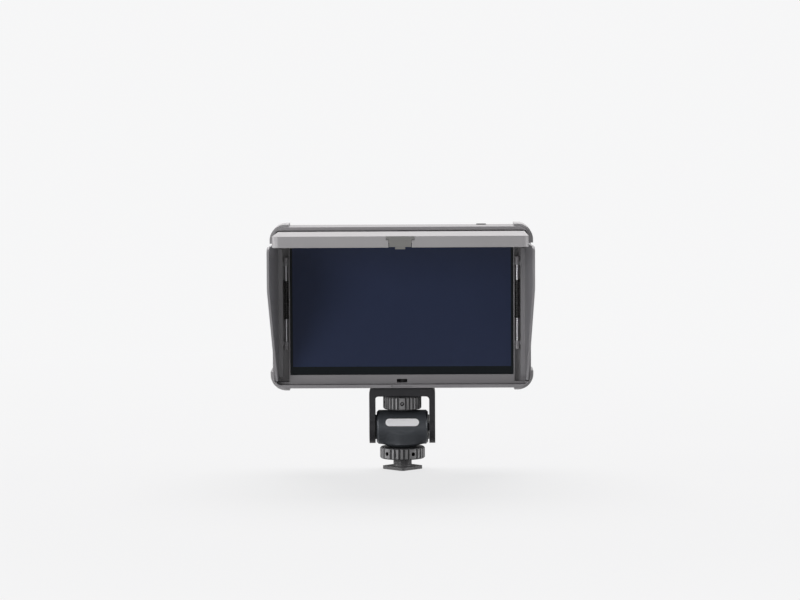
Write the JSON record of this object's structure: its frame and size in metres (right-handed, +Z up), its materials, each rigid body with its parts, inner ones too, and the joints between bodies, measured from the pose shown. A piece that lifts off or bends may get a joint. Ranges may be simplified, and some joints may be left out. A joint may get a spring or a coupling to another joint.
{
  "type": "field monitor with folding sun hood",
  "caption": "On-camera field monitor with a folding sun hood of lid and wings, on a tilting and panning shoe mount with clamp wheels.",
  "frame": {"origin": "middle of the sole of the shoe foot", "axes": "+Z up along the pan axis, -Y out of the screen towards the viewer, +X to the viewer's right, along the tilt axle"},
  "size_m": [0.159, 0.1168, 0.1499],
  "materials": {
    "anodised": "black anodised, satin",
    "wheel": "dark anodised, turned and grooved",
    "steel": "satin steel",
    "washer": "dark nylon",
    "pad": "matte rubber",
    "screw": "zinc plated",
    "frame": "fine moulded grain, mid grey",
    "shell": "fine moulded grain, dark grey",
    "bumper": "matte rubber",
    "glass": "clear over a black printed border",
    "panel": "dark, switched off",
    "board": "green solder mask",
    "brass": "turned, threaded",
    "lid": "light grey outside, fine powder coat",
    "wing": "dark grey, fine powder coat",
    "latch": "mid grey",
    "pin": "ground",
    "spring": "black oxide spring wire",
    "plate": "black",
    "contact": "gold flashed",
    "socket": "tin plated",
    "jack": "black",
    "button": "dark grey",
    "fastener": "black zinc"
  },
  "bodies": {
    "foot": {"shoe_foot": "anodised"},
    "clamp_wheel": {"lock_wheel": "wheel"},
    "pan_head": {"tilt_barrel": "anodised", "retaining_pin": "steel"},
    "monitor": {"friction_washers": "washer", "tilt_axle": "steel", "axle_nut": "steel", "mount_yoke": "anodised", "mount_pad": "pad", "front_frame": "frame", "rear_shell": "shell", "corner_bumpers": "bumper", "cover_glass": "glass", "display_panel": "panel", "main_board": "board", "tripod_insert": "brass", "lid_pins": "pin", "lid_springs": "spring", "wing_pins": "pin", "left_wing_spring": "spring", "right_wing_spring": "spring", "battery_plate": "plate", "battery_contacts": "contact", "hdmi_sockets": "socket", "usb_socket": "socket", "audio_jack": "jack", "rear_screws": "fastener"},
    "mounting_screw": {"mount_screw": "screw", "screw_wheel": "wheel"},
    "lid": {"hood_lid": "lid"},
    "latch": {"lid_latch": "latch"},
    "wing_left": {"left_wing": "wing"},
    "wing_right": {"right_wing": "wing"},
    "release": {"battery_release": "button"},
    "power": {"power_button": "button"},
    "menu": {"menu_button": "button"},
    "up": {"up_button": "button"},
    "down": {"down_button": "button"}
  },
  "joints": [
    {"name": "clamp_turn", "type": "hinge", "parent": "foot", "child": "clamp_wheel", "pos_m": [0, 0, 0.0099], "axis": [0, 0, 1], "continuous": true},
    {"name": "pan", "type": "hinge", "parent": "foot", "child": "pan_head", "pos_m": [0, 0, 0.0134], "axis": [0, 0, 1], "continuous": true},
    {"name": "tilt", "type": "hinge", "parent": "pan_head", "child": "monitor", "pos_m": [0, 0, 0.0256], "axis": [1, 0, 0], "range_deg": [-90, 90]},
    {"name": "screw_turn", "type": "hinge", "parent": "monitor", "child": "mounting_screw", "pos_m": [0, 0, 0.0407], "axis": [0, 0, 1], "continuous": true},
    {"name": "lid_fold", "type": "hinge", "parent": "monitor", "child": "lid", "pos_m": [0, -0.0104, 0.141], "axis": [1, 0, 0], "range_deg": [0, 91.2]},
    {"name": "latch_slide", "type": "slide", "parent": "lid", "child": "latch", "axis": [0, 0.9998, -0.0209], "range_m": [0, 0.0012], "stiffness_N_per_m": 300, "springref_m": -0.0015},
    {"name": "left_wing_fold", "type": "hinge", "parent": "monitor", "child": "wing_left", "pos_m": [-0.07, -0.0064, 0.0971], "axis": [0, 0, 1], "range_deg": [0, 93.4]},
    {"name": "right_wing_fold", "type": "hinge", "parent": "monitor", "child": "wing_right", "pos_m": [0.07, -0.0064, 0.0971], "axis": [0, 0, -1], "range_deg": [0, 93.4]},
    {"name": "battery_release_slide", "type": "slide", "parent": "monitor", "child": "release", "axis": [0, 0, -1], "range_m": [0, 0.002], "stiffness_N_per_m": 400, "springref_m": -0.001},
    {"name": "power_press", "type": "slide", "parent": "monitor", "child": "power", "axis": [0, 0, -1], "range_m": [0, 0.0005], "stiffness_N_per_m": 800, "springref_m": -0.0005},
    {"name": "menu_press", "type": "slide", "parent": "monitor", "child": "menu", "axis": [-1, 0, 0], "range_m": [0, 0.0005], "stiffness_N_per_m": 800, "springref_m": -0.0005},
    {"name": "up_press", "type": "slide", "parent": "monitor", "child": "up", "axis": [-1, 0, 0], "range_m": [0, 0.0005], "stiffness_N_per_m": 800, "springref_m": -0.0005},
    {"name": "down_press", "type": "slide", "parent": "monitor", "child": "down", "axis": [-1, 0, 0], "range_m": [0, 0.0005], "stiffness_N_per_m": 800, "springref_m": -0.0005}
  ]
}
